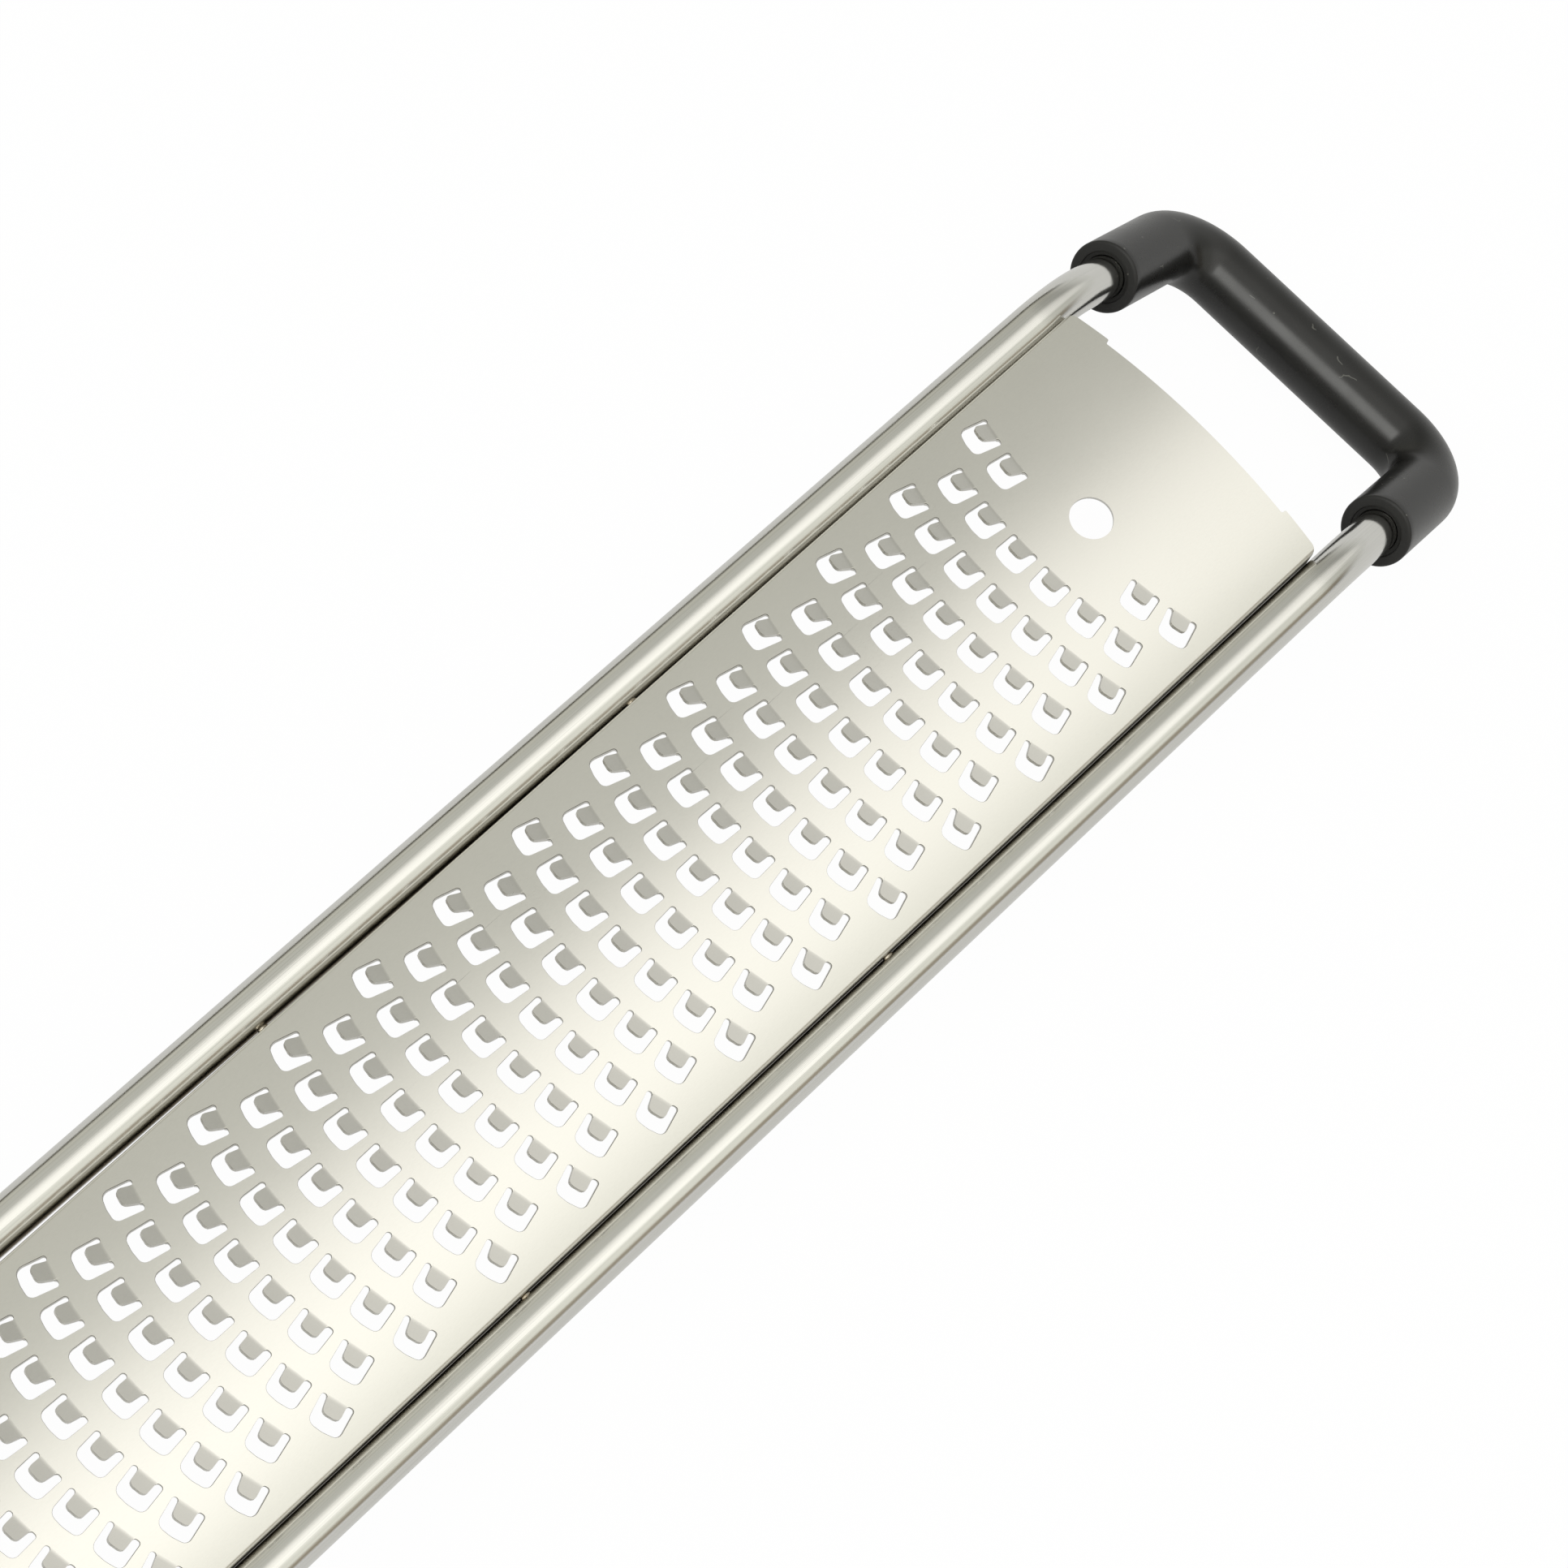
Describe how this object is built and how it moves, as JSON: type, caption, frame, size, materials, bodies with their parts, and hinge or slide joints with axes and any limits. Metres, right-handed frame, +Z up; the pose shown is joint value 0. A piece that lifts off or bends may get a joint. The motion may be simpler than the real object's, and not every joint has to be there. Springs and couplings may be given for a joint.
{
  "type": "rasp zester",
  "caption": "Rasp zester with an arched stainless blade of raised teeth held in a bent wire frame, a black rubber foot sleeve at the tip and a soft black handle",
  "frame": {"origin": "under the middle of the whole tool, level with the underside of the foot sleeve", "axes": "X across the blade, +Y along the tool to the foot, +Z up out of the teeth"},
  "size_m": [0.0606, 0.4054, 0.0386],
  "materials": {
    "polished_steel": "polished rod with fine lengthwise lines",
    "blade_steel": "satin stamped sheet with fine grain",
    "black_rubber": "smooth satin rubber with matte cut ends",
    "black_plastic": "fine matte texture",
    "soft_grip": "soft matte skin"
  },
  "bodies": {
    "root": {"frame_rod": "polished_steel", "rasp_blade": "blade_steel", "tack_welds": "blade_steel", "foot_sleeve": "black_rubber", "handle_collar": "polished_steel", "handle_core": "black_plastic", "handle_grip": "soft_grip"}
  },
  "joints": []
}
